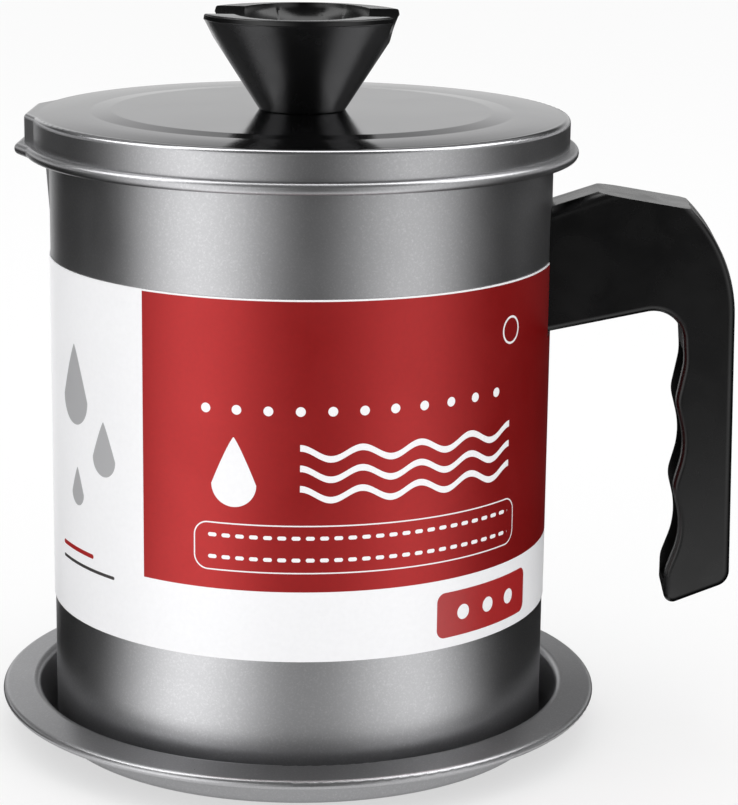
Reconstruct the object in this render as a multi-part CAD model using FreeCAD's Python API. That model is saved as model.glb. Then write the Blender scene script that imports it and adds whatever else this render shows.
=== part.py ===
import FreeCAD, Part
import math
import os

# Bacon grease container: a steel pot with a side handle, a lift-out strainer, a lid with a knob and a drip tray.
# Millimetres. +Z is up, the handle points along +X and the spout along -X.
# The origin is the centre of the drip tray's underside, on the table.

# Gaps between pieces
rest_gap = 0.3          # between pieces that lift apart
skin_gap = 0.05         # between pieces that are glued, welded, moulded in or screwed together
shank_room = 0.3        # round a screw's shank where it only passes through
cut_over = 1.0          # how far a cut starts outside the piece it cuts

# Drip tray
tray_sheet = 0.8
tray_foot_gap = 1.3
tray_foot_corner = 3.2
tray_well_depth = 10.6
tray_well_gap = 4.4
tray_flange_width = 8.8
tray_flange_drop = 1.1
tray_hem_radius = 1.2
tray_hem_rise = 0.2

# Pot
pot_radius = 60.0
pot_sheet = 0.8
pot_height = 148.0
pot_corner = 3.2
pot_hem_reach = 2.6
pot_hem_height = 3.4

# Pouring spout, a shallow bump that the pot's hem and the lid share
spout_reach = 1.3
spout_half_front = 8.0
spout_half_root = 15.0
spout_corner = 4.0
spout_flare_height = 22.0

# Strainer
strainer_sheet = 0.7
strainer_flange_inset = 0.6
strainer_wall_gap = 0.7
strainer_depth = 36.0
strainer_corner = 3.0
strainer_ledge_width = 7.8
mesh_side_gap = 0.7
mesh_thickness = 0.5
mesh_pitch = 5.8
mesh_wire = 1.1
ring_width = 4.0
ring_thickness = 1.0

# Lid
lid_sheet = 0.7
lid_side_gap = 0.5
lid_skirt_depth = 9.6
lid_edge_round = 1.2
lid_hem_reach = 2.1
lid_hem_height = 2.8
lid_rim_width = 18.6
lid_dish_rise = 0.75
lid_dish_bevel = 5.0
lid_dish_round = 8.0
lid_shoulder_rise = 0.4
lid_shoulder_round = 200.0
lid_shoulder_crown = 0.85
lid_shoulder_inset = 1.6

# Knob
knob_height = 23.1
knob_base_radius = 10.2
knob_base_round = 0.5
knob_top_radius = 24.3
knob_lip_height = 1.65
knob_lip_step = 0.3
knob_lip_round = 0.45
knob_scoop_depth = 7.0
knob_scoop_half_width = 10.4
knob_pocket_half_length = 16.8
knob_pocket_half_width = 22.9
knob_pocket_depth = 9.0
knob_turn_deg = -2.5
knob_insert_radius = 4.0
knob_insert_length = 11.0
knob_washer_radius = 5.5
knob_washer_thickness = 0.8
knob_screw_head_radius = 4.0
knob_screw_head_height = 2.4
knob_screw_grip = 9.0

# Handle, seen from the side
handle_thickness = 18.0
arm_below_rim = 18.5
arm_root_height = 29.9
arm_low_slope = 0.222
arm_top_slope = 0.343
arm_top_round = 3.2
inner_corner_radius = 7.0
handle_root_depth = 5.0
finger_room = 31.0
finger_ridge_rise = 0.7
finger_groove = 2.8
finger_pitch = 21.2
finger_groove_radius = 20.0
finger_ridge_radius = 8.0
finger_first_drop = 23.6
finger_top_share = 0.405
finger_top_groove = 1.8
finger_top_round = 14.0
little_finger_hook = 0.9
grip_depth = 13.2
grip_lean = 1.7
grip_outer_radius = 36.5
grip_shoulder_drop = 10.9
grip_crest_width = 19.2
grip_tip_drop = 9.0
grip_tip_round = 2.2
grip_heel_round = 4.0
grip_bottom_slope = 0.44
thumb_rest_start = 10.5
thumb_rest_slope = -0.157
handle_edge_round = 1.6
hollow_wall = 2.4
hollow_back = 5.0
hollow_end = 3.4
hollow_rise = 12.5
hollow_round = 3.0

# Handle fixing
bracket_sheet = 1.5
bracket_half_width = 6.0
bracket_height = 19.0
tongue_rise = 13.8
tongue_thickness = 2.0
tongue_half_width = 5.0
tongue_length = 24.0
handle_screw_reach = 16.0
handle_screw_seat_depth = 5.9
handle_screw_head_radius = 3.8
handle_screw_head_height = 2.4
handle_washer_radius = 4.2
handle_washer_thickness = 0.8
handle_bore_room = 0.4
handle_insert_radius = 3.4
handle_insert_length = 8.5

# Screws of both fixings
screw_radius = 2.0
screw_head_round = 1.0
screw_tip_room = 1.0
recess_reach = 2.2
recess_half_width = 0.4
recess_depth = 1.2

# Label
label_sheet = 0.2
label_foot_gap = 33.1
label_height = 83.5
label_seam = 1.0
label_handle_room = 1.2

# Levels and radii that follow from the sizes above
tray_foot_radius = pot_radius + tray_foot_gap
tray_well_radius = pot_radius + tray_well_gap
pot_floor = tray_sheet + rest_gap
pot_rim = pot_floor + pot_height
pot_hem_radius = pot_radius + pot_hem_reach
pot_bore_radius = pot_radius - pot_sheet
strainer_flange_bottom = pot_rim + rest_gap
strainer_flange_radius = pot_hem_radius - strainer_flange_inset
strainer_rim = strainer_flange_bottom + strainer_sheet
strainer_radius = pot_bore_radius - strainer_wall_gap
strainer_bore_radius = strainer_radius - strainer_sheet
strainer_bottom = strainer_flange_bottom - strainer_depth
strainer_mouth_radius = strainer_bore_radius - strainer_ledge_width
mesh_radius = strainer_bore_radius - (strainer_corner - strainer_sheet) - mesh_side_gap
mesh_bottom = strainer_bottom + strainer_sheet
ring_bottom = mesh_bottom + mesh_thickness
lid_under = strainer_rim + rest_gap
lid_top = lid_under + lid_sheet
lid_bore_radius = pot_hem_radius + lid_side_gap
lid_radius = lid_bore_radius + lid_sheet
lid_skirt_bottom = lid_top - lid_skirt_depth
lid_dish_radius = lid_radius - lid_rim_width
lid_dish_foot = lid_dish_radius + lid_dish_bevel
lid_shoulder_radius = lid_radius - lid_shoulder_inset
knob_base = lid_top + lid_dish_rise
knob_top = knob_base + knob_height
dish_under = knob_base - lid_sheet
arm_root_high = pot_rim - arm_below_rim
arm_root_low = arm_root_high - arm_root_height
arm_root_middle = (arm_root_low + arm_root_high) / 2
inner_corner_x = pot_radius + finger_room
inner_corner_level = arm_root_low + arm_low_slope * finger_room
finger_ridge_x = inner_corner_x - finger_ridge_rise
finger_groove_x = finger_ridge_x + finger_groove
finger_first_ridge = inner_corner_level - finger_first_drop
finger_top_level = finger_first_ridge + finger_top_share * finger_first_drop
grip_tip = finger_first_ridge - 2 * finger_pitch - grip_tip_drop
grip_shoulder = arm_root_high - grip_shoulder_drop
grip_outer_x = finger_ridge_x + grip_depth
grip_heel_x = grip_outer_x + grip_lean
rest_start_x = pot_radius + thumb_rest_start
rest_start_level = arm_root_high + arm_top_slope * thumb_rest_start
hollow_top = finger_first_ridge + hollow_rise
socket_gap = rest_gap
grip_side = handle_thickness / 2
screw_axis_x = pot_radius + handle_screw_reach
tongue_level = arm_root_low + tongue_rise
tongue_top = tongue_level + tongue_thickness / 2
tongue_bottom = tongue_level - tongue_thickness / 2
handle_screw_seat = tongue_bottom - handle_screw_seat_depth
handle_insert_bottom = tongue_top + socket_gap
label_bottom = pot_floor + label_foot_gap
label_top = label_bottom + label_height

UP = FreeCAD.Vector(0, 0, 1)
ORIGIN = FreeCAD.Vector(0, 0, 0)


def rounded_outline(corners, place):
    """Closed wire through corners (a, b, radius); place turns a corner's a and b into a point."""
    count = len(corners)
    stretches = []
    for i in range(count):
        ahead = corners[(i + 1) % count]
        behind = corners[i - 1]
        a, b, radius = corners[i]
        if radius == 0:
            stretches.append([(a, b)])
            continue
        in_length = math.hypot(a - behind[0], b - behind[1])
        out_length = math.hypot(ahead[0] - a, ahead[1] - b)
        arrive = ((a - behind[0]) / in_length, (b - behind[1]) / in_length)
        leave = ((ahead[0] - a) / out_length, (ahead[1] - b) / out_length)
        turn = math.acos(arrive[0] * leave[0] + arrive[1] * leave[1])
        reach = radius * math.tan(turn / 2)
        start = (a - arrive[0] * reach, b - arrive[1] * reach)
        end = (a + leave[0] * reach, b + leave[1] * reach)
        middle = ((start[0] + end[0]) / 2, (start[1] + end[1]) / 2)
        outward = radius / math.cos(turn / 2) - radius
        span = math.hypot(a - middle[0], b - middle[1])
        crown = (a - (a - middle[0]) / span * outward, b - (b - middle[1]) / span * outward)
        stretches.append([start, crown, end])
    edges = []
    for i in range(count):
        points = [place(*point) for point in stretches[i]]
        if len(points) == 3:
            edges.append(Part.Arc(*points).toShape())
        next_start = place(*stretches[(i + 1) % count][0])
        if points[-1].distanceToPoint(next_start) > 1e-6:
            edges.append(Part.LineSegment(points[-1], next_start).toShape())
    return Part.Wire(edges)


def side_plane(a, b):
    return FreeCAD.Vector(a, 0, b)


def turned(corners):
    """Solid of revolution round the Z axis from an outline in radius and height."""
    return Part.Face(rounded_outline(corners, side_plane)).revolve(ORIGIN, UP, 360)


def side_prism(corners, half_width):
    """Solid with an outline in X and Z, from -half_width to half_width in Y."""
    face = Part.Face(rounded_outline(corners, side_plane))
    face.translate(FreeCAD.Vector(0, -half_width, 0))
    return face.extrude(FreeCAD.Vector(0, 2 * half_width, 0))


def box(low, high):
    size = [high[i] - low[i] for i in range(3)]
    return Part.makeBox(*size, FreeCAD.Vector(*low))


def disc(radius, bottom, top, x=0):
    return Part.makeCylinder(radius, top - bottom, FreeCAD.Vector(x, 0, bottom))


def washer(outer_radius, inner_radius, bottom, top, x=0):
    return disc(outer_radius, bottom, top, x).cut(disc(inner_radius, bottom, top, x))


def level_edges(shape, height):
    """Edges that lie flat at one height."""
    return [e for e in shape.Edges if e.BoundBox.ZLength < 1e-4 and abs(e.BoundBox.ZMin - height) < 1e-4]


def spout_plan(radius):
    """Corners of the spout's bump on a round outline of this radius, from above."""
    growth = radius - pot_hem_radius
    front_x = -(radius + spout_reach)
    front_y = spout_half_front + growth
    root_y = spout_half_root + growth
    root_x = -math.sqrt(radius ** 2 - root_y ** 2)
    inner_x = 2 * root_x - front_x
    inner_y = 2 * root_y - front_y
    return [(front_x, front_y), (inner_x, inner_y), (inner_x, -inner_y), (front_x, -front_y)]


def spouted_disc(radius, bottom, top):
    """Round plate with the spout's bump on its -X side."""
    points = [FreeCAD.Vector(x, y, bottom) for x, y in spout_plan(radius)]
    bump = Part.Face(Part.makePolygon(points + points[:1])).extrude(UP * (top - bottom))
    plate = disc(radius, bottom, top).fuse(bump).removeSplitter()
    corners = [e for e in plate.Edges if e.BoundBox.ZLength > (top - bottom) / 2 and e.BoundBox.XMax < 0]
    return plate.makeFillet(spout_corner, corners)


def spout_flare(radius, bottom, top):
    """Wedge that leads a wall of this radius out to the spout's bump."""
    plan = spout_plan(radius)
    shift = spout_reach + pot_sheet / 2
    low = [FreeCAD.Vector(x + shift, y, bottom) for x, y in plan]
    high = [FreeCAD.Vector(x, y, top) for x, y in plan]
    return Part.makeLoft([Part.makePolygon(low + low[:1]), Part.makePolygon(high + high[:1])], True, True)


def drip_tray():
    """Pressed tray with a sloping flange that ends in a rolled hem."""
    flange_top = tray_sheet + tray_well_depth
    flange_radius = tray_well_radius + tray_flange_width
    hem_x = flange_radius - tray_hem_radius
    hem_z = flange_top - tray_flange_drop - tray_hem_radius + tray_hem_rise
    sheet = turned([
        (0, 0, 0),
        (tray_foot_radius, 0, tray_foot_corner),
        (tray_well_radius + tray_sheet, flange_top - tray_sheet, tray_sheet),
        (hem_x, hem_z, 0),
        (hem_x, hem_z + tray_hem_radius, 0),
        (tray_well_radius, flange_top, 2 * tray_sheet),
        (tray_foot_radius - tray_sheet, tray_sheet, tray_foot_corner - tray_sheet),
        (0, tray_sheet, 0),
    ])
    hem = Part.makeTorus(hem_x, tray_hem_radius, FreeCAD.Vector(0, 0, hem_z))
    return sheet.fuse(hem).removeSplitter()


def pot_body():
    """Drawn pot with a rolled hem and a spout pushed out of the wall."""
    hem_bottom = pot_rim - pot_hem_height
    flare_bottom = hem_bottom - spout_flare_height
    middle = pot_rim - pot_hem_height / 2
    outside = turned([
        (0, pot_floor, 0),
        (pot_radius, pot_floor, pot_corner),
        (pot_radius, middle, 0),
        (0, middle, 0),
    ])
    outside = outside.fuse(spout_flare(pot_radius, flare_bottom, middle))
    hem = spouted_disc(pot_hem_radius, hem_bottom, pot_rim)
    hem_round = pot_hem_height / 2 - skin_gap
    hem = hem.makeFillet(hem_round, level_edges(hem, hem_bottom) + level_edges(hem, pot_rim))
    mouth = spouted_disc(pot_bore_radius, hem_bottom, pot_rim)
    hem = hem.cut(mouth)
    lip = [e for e in level_edges(hem, pot_rim) if e.distToShape(mouth)[0] < 1e-5]
    hem = hem.makeFillet(hem_round, lip)
    inside = turned([
        (0, pot_floor + pot_sheet, 0),
        (pot_bore_radius, pot_floor + pot_sheet, pot_corner - pot_sheet),
        (pot_bore_radius, pot_rim, 0),
        (0, pot_rim, 0),
    ])
    inside = inside.fuse(spout_flare(pot_bore_radius, flare_bottom, hem_bottom))
    inside = inside.fuse(mouth)
    return outside.fuse(hem).cut(inside).removeSplitter()


def label_wrap():
    """Paper label round the pot, open where the handle's arm stands and with a seam below it."""
    inner = pot_radius + skin_gap
    sleeve = washer(inner + label_sheet, inner, label_bottom, label_top)
    side = grip_side + label_handle_room
    over = label_top + cut_over
    notch = box((0, -side, arm_root_low - label_handle_room), (inner_corner_x, side, over))
    seam = box((0, -label_seam / 2, label_bottom - cut_over), (inner_corner_x, label_seam / 2, over))
    return sleeve.cut(notch).cut(seam)


def arm_top(x):
    """Level of the arm's upper side."""
    return arm_root_high + arm_top_slope * (x - pot_radius)


def thumb_rest(x):
    """Level of the slanting flat for the thumb."""
    return rest_start_level + thumb_rest_slope * (x - rest_start_x)


def handle_blank():
    """Handle without its hollow, its thumb rest or its fixing holes."""
    root_x = pot_radius - handle_root_depth
    root_low = arm_root_low - arm_low_slope * handle_root_depth
    crest_x = grip_outer_x - grip_crest_width
    corners = [(root_x, root_low, 0), (inner_corner_x, inner_corner_level, inner_corner_radius)]
    corners.append((finger_ridge_x + finger_top_groove, finger_top_level, finger_top_round))
    for finger in range(3):
        ridge_z = finger_first_ridge - finger * finger_pitch
        hook = little_finger_hook if finger == 2 else 0
        corners.append((finger_ridge_x - hook, ridge_z, finger_ridge_radius))
        if finger < 2:
            corners.append((finger_groove_x, ridge_z - finger_pitch / 2, finger_groove_radius))
    corners.append((finger_ridge_x - little_finger_hook, grip_tip, grip_tip_round))
    heel_level = grip_tip + grip_bottom_slope * (grip_heel_x - finger_ridge_x)
    corners.append((grip_heel_x, heel_level, grip_heel_round))
    corners.append((grip_outer_x, grip_shoulder, grip_outer_radius))
    corners.append((crest_x, arm_top(crest_x), 0))
    corners.append((root_x, arm_top(root_x), 0))
    blank = side_prism(corners, grip_side)
    top_edges = []
    for e in blank.Edges:
        on_side = e.BoundBox.YLength < 1e-4
        if on_side and e.BoundBox.ZMin > arm_root_middle and abs(e.BoundBox.XMin - root_x) < 1e-4:
            top_edges.append(e)
    return blank.makeFillet(arm_top_round, top_edges)


def thumb_rest_cut():
    """Space above the slanting flat for the thumb."""
    near = pot_radius
    far = grip_heel_x + handle_thickness
    high = rest_start_level + 2 * handle_thickness
    corners = [(near, thumb_rest(near), 0), (far, thumb_rest(far), 0), (far, high, 0), (near, high, 0)]
    return side_prism(corners, handle_thickness)


def grip_hollow():
    """Hollow behind the fingers, open towards the pot."""
    mouth_x = pot_radius + finger_room / 2
    back_x = grip_outer_x - hollow_back
    low = grip_tip + hollow_end
    return side_prism([
        (mouth_x, low, 0),
        (back_x, low + grip_bottom_slope * hollow_back, hollow_round),
        (back_x, hollow_top, hollow_round),
        (mouth_x, hollow_top, 0),
    ], grip_side - hollow_wall)


def handle_grip():
    """Moulded handle: blank, thumb rest, rounded edges, hollow and holes for its fixing."""
    grip = handle_blank().cut(thumb_rest_cut())
    side_edges = []
    for e in grip.Edges:
        on_side = e.BoundBox.YLength < 1e-4 and abs(abs(e.BoundBox.YMin) - grip_side) < 1e-4
        at_root = e.BoundBox.XMax < pot_radius - handle_root_depth / 2
        middle = e.CenterOfMass
        on_rest = abs(middle.z - thumb_rest(middle.x)) < 0.01
        if on_side and not at_root and not on_rest:
            side_edges.append(e)
    grip = grip.makeFillet(handle_edge_round, side_edges)
    wall = Part.makeCylinder(pot_radius + skin_gap, pot_height, FreeCAD.Vector(0, 0, pot_floor))
    grip = grip.cut(wall).cut(grip_hollow())
    return grip.cut(bracket_room()).cut(handle_screw_room())


def bracket_plate(inner, outer, half_width, low, high):
    """Upright plate that follows the pot's wall."""
    ring = washer(outer, inner, low, high)
    return ring.common(box((0, -half_width, low), (outer, half_width, high)))


def handle_bracket():
    """Steel bracket welded to the pot, with a tongue inside the handle."""
    inner = pot_radius + skin_gap
    low = tongue_level - bracket_height / 2
    plate = bracket_plate(inner, inner + bracket_sheet, bracket_half_width, low, low + bracket_height)
    tongue = box((pot_radius + bracket_sheet / 2, -tongue_half_width, tongue_bottom),
                 (pot_radius + tongue_length, tongue_half_width, tongue_top))
    hole = disc(screw_radius + shank_room, tongue_bottom, tongue_top, screw_axis_x)
    return plate.fuse(tongue).removeSplitter().cut(hole)


def bracket_room():
    """Socket in the handle for the bracket."""
    low = tongue_level - bracket_height / 2 - socket_gap
    high = tongue_level + bracket_height / 2 + socket_gap
    outer = pot_radius + bracket_sheet + socket_gap
    plate = bracket_plate(pot_radius, outer, bracket_half_width + socket_gap, low, high)
    side = tongue_half_width + socket_gap
    return plate.fuse(box((pot_radius, -side, tongue_bottom - socket_gap),
                          (pot_radius + tongue_length + socket_gap, side, tongue_top + socket_gap)))


def handle_screw_room():
    """Counterbore, shank hole and insert hole in the handle."""
    head = disc(handle_washer_radius + handle_bore_room, arm_root_low - handle_root_depth, handle_screw_seat, screw_axis_x)
    shank = disc(screw_radius + shank_room, handle_screw_seat, handle_insert_bottom, screw_axis_x)
    top = handle_insert_bottom + handle_insert_length + skin_gap
    return head.fuse(shank).fuse(disc(handle_insert_radius + skin_gap, tongue_level, top, screw_axis_x))


def handle_insert():
    """Brass insert moulded into the handle above the tongue."""
    top = handle_insert_bottom + handle_insert_length
    return washer(handle_insert_radius, screw_radius + skin_gap, handle_insert_bottom, top, screw_axis_x)


def handle_washer():
    low = handle_screw_seat - handle_washer_thickness
    return washer(handle_washer_radius, screw_radius + shank_room, low, handle_screw_seat, screw_axis_x)


def handle_screw():
    """Pan head screw that goes up through the tongue into the insert."""
    head_top = handle_screw_seat - handle_washer_thickness
    head_bottom = head_top - handle_screw_head_height
    tip = handle_insert_bottom + handle_insert_length - screw_tip_room
    screw = disc(handle_screw_head_radius, head_bottom, head_top, screw_axis_x)
    screw = screw.makeFillet(screw_head_round, level_edges(screw, head_bottom))
    return screw.fuse(disc(screw_radius, head_top, tip, screw_axis_x)).cut(cross_recess(head_bottom, screw_axis_x))


def cross_recess(face, x):
    """Cross-shaped driver recess, cut upwards from a head's lower face."""
    reach, half = recess_reach, recess_half_width
    low, high = face - cut_over, face + recess_depth
    along = box((x - reach, -half, low), (x + reach, half, high))
    across = box((x - half, -reach, low), (x + half, reach, high))
    return along.fuse(across)


def strainer_cup():
    """Drawn cup whose flange rests on the pot's hem and whose floor is open."""
    return turned([
        (strainer_flange_radius, strainer_flange_bottom, 0),
        (strainer_flange_radius, strainer_rim, 0),
        (strainer_bore_radius, strainer_rim, 2 * strainer_sheet),
        (strainer_bore_radius, mesh_bottom, strainer_corner - strainer_sheet),
        (strainer_mouth_radius, mesh_bottom, 0),
        (strainer_mouth_radius, strainer_bottom, 0),
        (strainer_radius, strainer_bottom, strainer_corner),
        (strainer_radius, strainer_flange_bottom, strainer_sheet),
    ])


def strainer_mesh():
    """Flat mesh with square gaps, lying on the cup's inner ledge."""
    wires = [Part.Wire(Part.makeCircle(mesh_radius, FreeCAD.Vector(0, 0, mesh_bottom)))]
    half = (mesh_pitch - mesh_wire) / 2
    reach = int(strainer_mouth_radius / mesh_pitch) + 1
    for i in range(-reach, reach + 1):
        for j in range(-reach, reach + 1):
            x, y = i * mesh_pitch, j * mesh_pitch
            if math.hypot(abs(x) + half, abs(y) + half) > strainer_mouth_radius - mesh_wire:
                continue
            signs = [(-1, -1), (1, -1), (1, 1), (-1, 1), (-1, -1)]
            points = [FreeCAD.Vector(x + a * half, y + b * half, mesh_bottom) for a, b in signs]
            wires.append(Part.makePolygon(points))
    face = Part.Face(wires, "Part::FaceMakerBullseye")
    return face.extrude(UP * mesh_thickness)


def strainer_ring():
    """Ring that holds the mesh down on the cup's ledge."""
    ring = washer(mesh_radius, mesh_radius - ring_width, ring_bottom, ring_bottom + ring_thickness)
    return ring.makeFillet(ring_thickness / 3, level_edges(ring, ring_bottom + ring_thickness))


def lid_middle(bottom, top):
    """Upper side of the lid inside its edge: a shoulder that rises gently and a raised middle."""
    edge_level = top - lid_dish_rise
    foot_level = edge_level + lid_shoulder_rise
    crown_radius = (lid_shoulder_radius + lid_dish_foot) / 2
    crown_level = edge_level + lid_shoulder_crown * lid_shoulder_rise
    return turned([
        (0, bottom, 0),
        (lid_shoulder_radius, bottom, 0),
        (lid_shoulder_radius, edge_level, 0),
        (crown_radius, crown_level, lid_shoulder_round),
        (lid_dish_foot, foot_level, lid_dish_round),
        (lid_dish_radius, top, lid_dish_round),
        (0, top, 0),
    ])


def lid_shell():
    """Pressed lid: skirt with a rolled hem, domed shoulder, raised middle and the spout's bump."""
    outside = spouted_disc(lid_radius, lid_skirt_bottom, lid_top)
    outside = outside.makeFillet(lid_edge_round, level_edges(outside, lid_top))
    outside = outside.fuse(lid_middle(lid_skirt_bottom, knob_base)).removeSplitter()
    hem_top = lid_skirt_bottom + lid_hem_height
    hem = spouted_disc(lid_radius + lid_hem_reach, lid_skirt_bottom, hem_top)
    hem_round = lid_hem_height / 2 - skin_gap
    hem = hem.makeFillet(hem_round, level_edges(hem, lid_skirt_bottom) + level_edges(hem, hem_top))
    inside = spouted_disc(lid_bore_radius, lid_skirt_bottom - cut_over, lid_under)
    inside = inside.fuse(lid_middle(lid_skirt_bottom - cut_over, dish_under))
    hole = disc(screw_radius + shank_room, dish_under - cut_over, knob_base + cut_over)
    return outside.fuse(hem).cut(inside).cut(hole).removeSplitter()


def turn_knob(shape):
    shape.rotate(ORIGIN, UP, knob_turn_deg)
    return shape


def lid_knob():
    """Moulded knob: a flaring cone with a lip, a scoop from side to side and an oval pocket."""
    lip_bottom = knob_top - knob_lip_height
    knob = turned([
        (0, knob_base, 0),
        (knob_base_radius, knob_base, knob_base_round),
        (knob_top_radius - knob_lip_step, lip_bottom, 0),
        (knob_top_radius, lip_bottom + knob_lip_step, knob_lip_round),
        (knob_top_radius, knob_top, knob_lip_round),
        (0, knob_top, 0),
    ])
    scoop_radius = (knob_scoop_half_width ** 2 + knob_scoop_depth ** 2) / (2 * knob_scoop_depth)
    scoop_start = FreeCAD.Vector(-2 * knob_top_radius, 0, knob_top - knob_scoop_depth + scoop_radius)
    scoop = Part.makeCylinder(scoop_radius, 4 * knob_top_radius, scoop_start, FreeCAD.Vector(1, 0, 0))
    bowl = FreeCAD.Matrix()
    bowl.scale(knob_pocket_half_length, knob_pocket_half_width, knob_pocket_depth)
    pocket = Part.makeSphere(1).transformGeometry(bowl)
    pocket.translate(UP * knob_top)
    room = disc(knob_insert_radius + skin_gap, knob_base, knob_base + knob_insert_length + skin_gap)
    return turn_knob(knob.cut(scoop).cut(pocket).cut(room))


def knob_insert():
    """Brass insert moulded into the knob's base."""
    return washer(knob_insert_radius, screw_radius + skin_gap, knob_base, knob_base + knob_insert_length)


def knob_washer():
    low = dish_under - knob_washer_thickness
    return washer(knob_washer_radius, screw_radius + shank_room, low, dish_under)


def knob_screw():
    """Pan head screw from inside the lid into the knob's insert."""
    head_top = dish_under - knob_washer_thickness
    head_bottom = head_top - knob_screw_head_height
    screw = disc(knob_screw_head_radius, head_bottom, head_top)
    screw = screw.makeFillet(screw_head_round, level_edges(screw, head_bottom))
    return screw.fuse(disc(screw_radius, head_top, knob_base + knob_screw_grip)).cut(cross_recess(head_bottom, 0))


PIECES = [
    drip_tray,
    pot_body,
    label_wrap,
    handle_bracket,
    handle_grip,
    handle_insert,
    handle_washer,
    handle_screw,
    strainer_cup,
    strainer_mesh,
    strainer_ring,
    lid_shell,
    lid_knob,
    knob_insert,
    knob_washer,
    knob_screw,
]


def main():
    os.makedirs("parts", exist_ok=True)
    for make_piece in PIECES:
        shape = make_piece()
        name = make_piece.__name__
        shape.exportStep("parts/" + name + ".step")
        low = shape.BoundBox
        print(name, len(shape.Solids), shape.isValid(), round(shape.Volume, 1),
              [round(v, 2) for v in (low.XMin, low.YMin, low.ZMin, low.XMax, low.YMax, low.ZMax)])


main()
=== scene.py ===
import math

import bpy
from bpy.props import FloatProperty, FloatVectorProperty, IntProperty, PointerProperty
from bpy.types import Operator, Panel, PropertyGroup
from mathutils import Matrix, Vector


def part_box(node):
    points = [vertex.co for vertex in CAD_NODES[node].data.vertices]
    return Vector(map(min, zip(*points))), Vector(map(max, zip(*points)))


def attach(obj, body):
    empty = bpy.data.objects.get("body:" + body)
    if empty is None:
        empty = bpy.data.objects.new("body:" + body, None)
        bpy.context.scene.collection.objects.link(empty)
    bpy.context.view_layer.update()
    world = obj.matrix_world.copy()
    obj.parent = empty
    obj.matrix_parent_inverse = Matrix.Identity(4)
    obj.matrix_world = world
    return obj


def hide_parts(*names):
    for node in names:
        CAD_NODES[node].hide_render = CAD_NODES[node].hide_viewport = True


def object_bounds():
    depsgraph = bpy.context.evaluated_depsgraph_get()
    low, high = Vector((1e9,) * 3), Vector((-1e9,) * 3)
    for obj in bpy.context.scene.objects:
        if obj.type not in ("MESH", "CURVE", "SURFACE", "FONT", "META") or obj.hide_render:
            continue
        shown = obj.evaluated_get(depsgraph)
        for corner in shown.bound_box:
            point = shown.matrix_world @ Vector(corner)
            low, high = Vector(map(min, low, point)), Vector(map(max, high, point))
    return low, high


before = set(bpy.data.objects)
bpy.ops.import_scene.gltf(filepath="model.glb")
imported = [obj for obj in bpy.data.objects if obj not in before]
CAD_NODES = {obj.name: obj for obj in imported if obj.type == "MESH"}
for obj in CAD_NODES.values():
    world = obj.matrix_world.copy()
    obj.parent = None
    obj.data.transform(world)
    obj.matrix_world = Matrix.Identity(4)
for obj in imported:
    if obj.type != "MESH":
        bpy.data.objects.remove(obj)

bl_info = {
    "name": "Oil pot finishes",
    "version": (1, 0, 0),
    "blender": (4, 5, 0),
    "location": "View3D > Sidebar > Oil pot",
    "description": "Coating, label, bakelite, steel, woven strainer and studio for an oil strainer pot",
    "category": "Object",
}

CAD_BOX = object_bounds()
FLOOR_LEVEL = CAD_BOX[0].z
LABEL_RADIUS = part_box("label_wrap")[1].y
LABEL_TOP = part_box("label_wrap")[1].z
LID_MIDDLE_RISE = 0.00075
LID_RIM_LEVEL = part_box("lid_shell")[1].z - LID_MIDDLE_RISE
MESH_LOW, MESH_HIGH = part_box("strainer_mesh")


# Sizes and colours that a user may change

class CoatSettings(PropertyGroup):
    """The grey non-stick coating of tray, pot and lid."""
    colour: FloatVectorProperty(name="Coating", description="Colour of the coating", subtype="COLOR",
                                size=3, min=0, max=1, default=(0.43, 0.43, 0.44))
    fleck_colour: FloatVectorProperty(name="Flecks", description="Colour of the bright flecks",
                                      subtype="COLOR", size=3, min=0, max=1, default=(0.52, 0.52, 0.53))
    fleck_size: FloatProperty(name="Fleck size", description="Distance between flecks", unit="LENGTH",
                              min=0.0001, max=0.003, default=0.0003)
    roughness: FloatProperty(name="Roughness", description="Roughness of walls, tray and skirt",
                             subtype="FACTOR", min=0, max=1, default=0.33)
    lid_roughness: FloatProperty(name="Lid roughness", description="Roughness of the lid's polished top",
                                 subtype="FACTOR", min=0, max=1, default=0.1)


class LabelSettings(PropertyGroup):
    """The printed paper label."""
    paper: FloatVectorProperty(name="Paper", description="Colour of the bare paper", subtype="COLOR",
                               size=3, min=0, max=1, default=(0.95, 0.95, 0.965))
    panel: FloatVectorProperty(name="Red ink", description="Colour of the panel and the badge",
                               subtype="COLOR", size=3, min=0, max=1, default=(0.41, 0.003, 0.0035))
    panel_start: FloatProperty(name="Panel start", description="Where the red panel starts, along the wall",
                               unit="LENGTH", default=-0.0345)
    panel_low: FloatProperty(name="Panel foot", description="Height of the panel's lower edge",
                             unit="LENGTH", default=0.0507)
    roughness: FloatProperty(name="Roughness", description="Roughness of the coated paper",
                             subtype="FACTOR", min=0, max=1, default=0.38)


class BakeliteSettings(PropertyGroup):
    """The black moulded handle and knob."""
    colour: FloatVectorProperty(name="Bakelite", description="Colour of the moulded parts", subtype="COLOR",
                                size=3, min=0, max=1, default=(0.0009, 0.0009, 0.001))
    handle_roughness: FloatProperty(name="Handle roughness", description="Roughness of the handle",
                                    subtype="FACTOR", min=0, max=1, default=0.26)
    knob_roughness: FloatProperty(name="Knob roughness", description="Roughness of the knob",
                                  subtype="FACTOR", min=0, max=1, default=0.24)


class SteelSettings(PropertyGroup):
    """Bare steel and brass."""
    steel: FloatVectorProperty(name="Steel", description="Colour of the stainless parts", subtype="COLOR",
                               size=3, min=0, max=1, default=(0.6, 0.59, 0.57))
    brass: FloatVectorProperty(name="Brass", description="Colour of the inserts", subtype="COLOR",
                               size=3, min=0, max=1, default=(0.72, 0.5, 0.22))


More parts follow.
